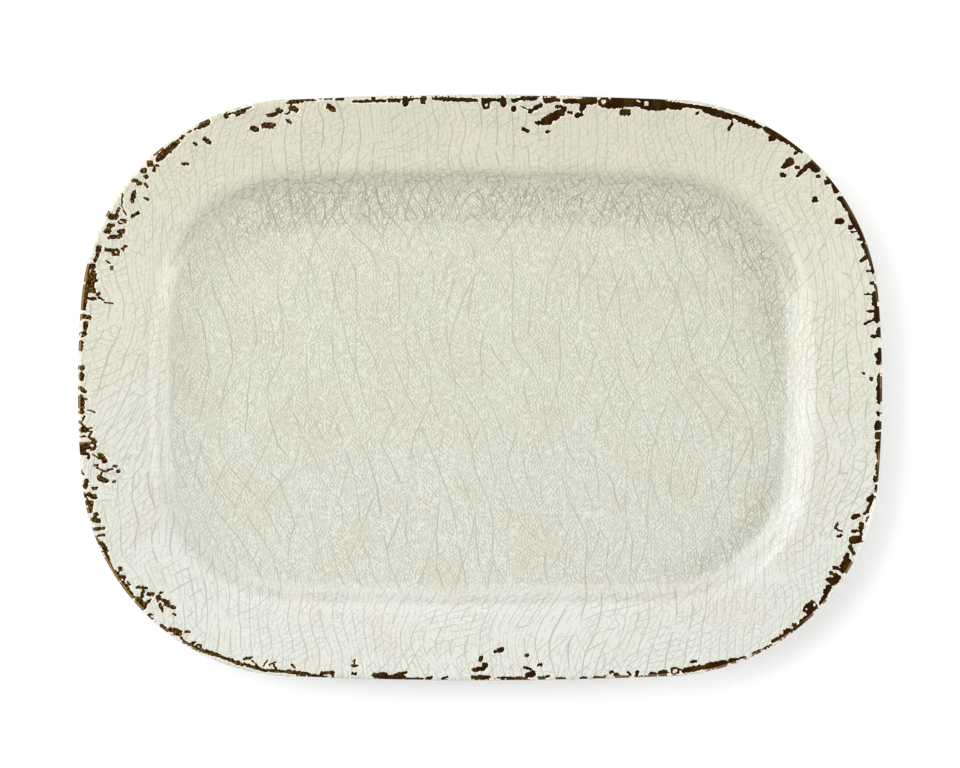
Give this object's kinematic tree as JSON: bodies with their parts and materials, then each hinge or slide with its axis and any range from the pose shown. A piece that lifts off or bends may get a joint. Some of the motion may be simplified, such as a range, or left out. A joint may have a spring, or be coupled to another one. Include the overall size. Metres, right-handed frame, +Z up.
{
  "type": "serving_platter",
  "caption": "Rectangular rimmed serving platter in ivory crackle-glazed china, with a shallow well, a wide flange and a brown slip edge showing where the glaze is worn",
  "frame": {"origin": "Under the middle of the platter, on the plane the foot ring stands on", "axes": "+X along the length, +Y across the width, +Z up out of the well"},
  "size_m": [0.4698, 0.3418, 0.0292],
  "materials": {
    "fired_clay": "matte",
    "iron_slip": "gloss",
    "face_glaze": "gloss",
    "underside_glaze": "gloss"
  },
  "bodies": {
    "root": {"clay_body": "fired_clay", "iron_slip_band": "iron_slip", "face_glaze": "face_glaze", "underside_glaze": "underside_glaze", "base_glaze": "underside_glaze"}
  },
  "joints": []
}
